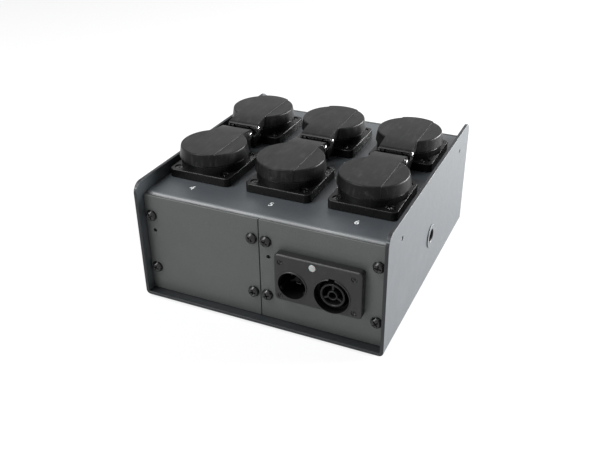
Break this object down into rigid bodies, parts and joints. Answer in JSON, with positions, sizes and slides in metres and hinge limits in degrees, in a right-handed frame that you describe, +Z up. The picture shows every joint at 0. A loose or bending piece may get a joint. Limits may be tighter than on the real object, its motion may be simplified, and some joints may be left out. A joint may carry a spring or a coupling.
{
  "type": "portable power distribution box",
  "caption": "Sheet metal power distribution box with earthed sockets under sprung round lids on top and a lockable power inlet and outlet on a front module panel.",
  "frame": {"origin": "under the middle of the box, on the surface that its feet stand on", "axes": "+Z up, front with the power connector towards -Y, +X to the right seen from the front"},
  "size_m": [0.1896, 0.205, 0.1064],
  "materials": {
    "box_powder_coat": "fine textured anthracite powder coat, satin",
    "panel_powder_coat": "fine textured anthracite powder coat, satin",
    "bush_powder_coat": "powder coated steel bush",
    "black_screw_steel": "black zinc plated steel screws",
    "foot_rubber": "moulded black rubber",
    "socket_plastic": "black moulded plastic, fine grain",
    "insert_plastic": "black moulded plastic",
    "lid_plastic": "dark grey moulded plastic, fine grain with light scuffs",
    "bright_steel": "bright plated steel",
    "spring_steel": "dark sprung steel wire",
    "connector_plastic": "black glass-filled moulded plastic",
    "lamp_lens": "frosted white lens",
    "brown_wire": "brown cable insulation",
    "blue_wire": "blue cable insulation",
    "earth_wire": "green and yellow cable insulation"
  },
  "bodies": {
    "root": {"shell": "box_powder_coat", "deck": "box_powder_coat", "blank_module_panel": "panel_powder_coat", "power_module_panel": "panel_powder_coat", "rear_panel": "panel_powder_coat", "panel_screw_left_inner_lower": "black_screw_steel", "panel_screw_left_inner_upper": "black_screw_steel", "panel_screw_left_outer_lower": "black_screw_steel", "panel_screw_left_outer_upper": "black_screw_steel", "panel_screw_right_inner_lower": "black_screw_steel", "panel_screw_right_inner_upper": "black_screw_steel", "panel_screw_right_outer_lower": "black_screw_steel", "panel_screw_right_outer_upper": "black_screw_steel", "deck_screw_left_front": "black_screw_steel", "deck_screw_left_rear": "black_screw_steel", "side_bush_left": "bush_powder_coat", "foot_left_front": "foot_rubber", "foot_left_rear": "foot_rubber", "deck_screw_right_front": "black_screw_steel", "deck_screw_right_rear": "black_screw_steel", "side_bush_right": "bush_powder_coat", "foot_right_front": "foot_rubber", "foot_right_rear": "foot_rubber", "socket_housing_front_left": "socket_plastic", "socket_insert_front_left": "insert_plastic", "lid_spring_front_left": "spring_steel", "hinge_pin_front_left": "bright_steel", "socket_housing_front_middle": "socket_plastic", "socket_insert_front_middle": "insert_plastic", "lid_spring_front_middle": "spring_steel", "hinge_pin_front_middle": "bright_steel", "socket_housing_front_right": "socket_plastic", "socket_insert_front_right": "insert_plastic", "lid_spring_front_right": "spring_steel", "hinge_pin_front_right": "bright_steel", "socket_housing_rear_left": "socket_plastic", "socket_insert_rear_left": "insert_plastic", "lid_spring_rear_left": "spring_steel", "hinge_pin_rear_left": "bright_steel", "socket_housing_rear_middle": "socket_plastic", "socket_insert_rear_middle": "insert_plastic", "lid_spring_rear_middle": "spring_steel", "hinge_pin_rear_middle": "bright_steel", "socket_housing_rear_right": "socket_plastic", "socket_insert_rear_right": "insert_plastic", "lid_spring_rear_right": "spring_steel", "hinge_pin_rear_right": "bright_steel", "connector_housing": "connector_plastic", "power_inlet_insert": "insert_plastic", "power_outlet_insert": "connector_plastic", "indicator_lens": "lamp_lens", "live_conductor": "brown_wire", "neutral_conductor": "blue_wire", "earth_conductor": "earth_wire"},
    "lid_front_left": {"socket_lid_front_left": "lid_plastic"},
    "lid_front_middle": {"socket_lid_front_middle": "lid_plastic"},
    "lid_front_right": {"socket_lid_front_right": "lid_plastic"},
    "lid_rear_left": {"socket_lid_rear_left": "lid_plastic"},
    "lid_rear_middle": {"socket_lid_rear_middle": "lid_plastic"},
    "lid_rear_right": {"socket_lid_rear_right": "lid_plastic"}
  },
  "joints": [
    {"name": "lid_hinge_front_left", "type": "hinge", "parent": "root", "child": "lid_front_left", "pos_m": [-0.0639, -0.0068, 0.1005], "axis": [-1, 0, 0], "range_deg": [0, 86], "stiffness_Nm_per_rad": 0.012, "springref_deg": -51.57},
    {"name": "lid_hinge_front_middle", "type": "hinge", "parent": "root", "child": "lid_front_middle", "pos_m": [-0.0012, -0.0068, 0.1005], "axis": [-1, 0, 0], "range_deg": [0, 86], "stiffness_Nm_per_rad": 0.012, "springref_deg": -51.57},
    {"name": "lid_hinge_front_right", "type": "hinge", "parent": "root", "child": "lid_front_right", "pos_m": [0.0615, -0.0068, 0.1005], "axis": [-1, 0, 0], "range_deg": [0, 86], "stiffness_Nm_per_rad": 0.012, "springref_deg": -51.57},
    {"name": "lid_hinge_rear_left", "type": "hinge", "parent": "root", "child": "lid_rear_left", "pos_m": [-0.0639, 0.0068, 0.1005], "axis": [1, 0, 0], "range_deg": [0, 86], "stiffness_Nm_per_rad": 0.012, "springref_deg": -51.57},
    {"name": "lid_hinge_rear_middle", "type": "hinge", "parent": "root", "child": "lid_rear_middle", "pos_m": [-0.0012, 0.0068, 0.1005], "axis": [1, 0, 0], "range_deg": [0, 86], "stiffness_Nm_per_rad": 0.012, "springref_deg": -51.57},
    {"name": "lid_hinge_rear_right", "type": "hinge", "parent": "root", "child": "lid_rear_right", "pos_m": [0.0615, 0.0068, 0.1005], "axis": [1, 0, 0], "range_deg": [0, 86], "stiffness_Nm_per_rad": 0.012, "springref_deg": -51.57}
  ]
}
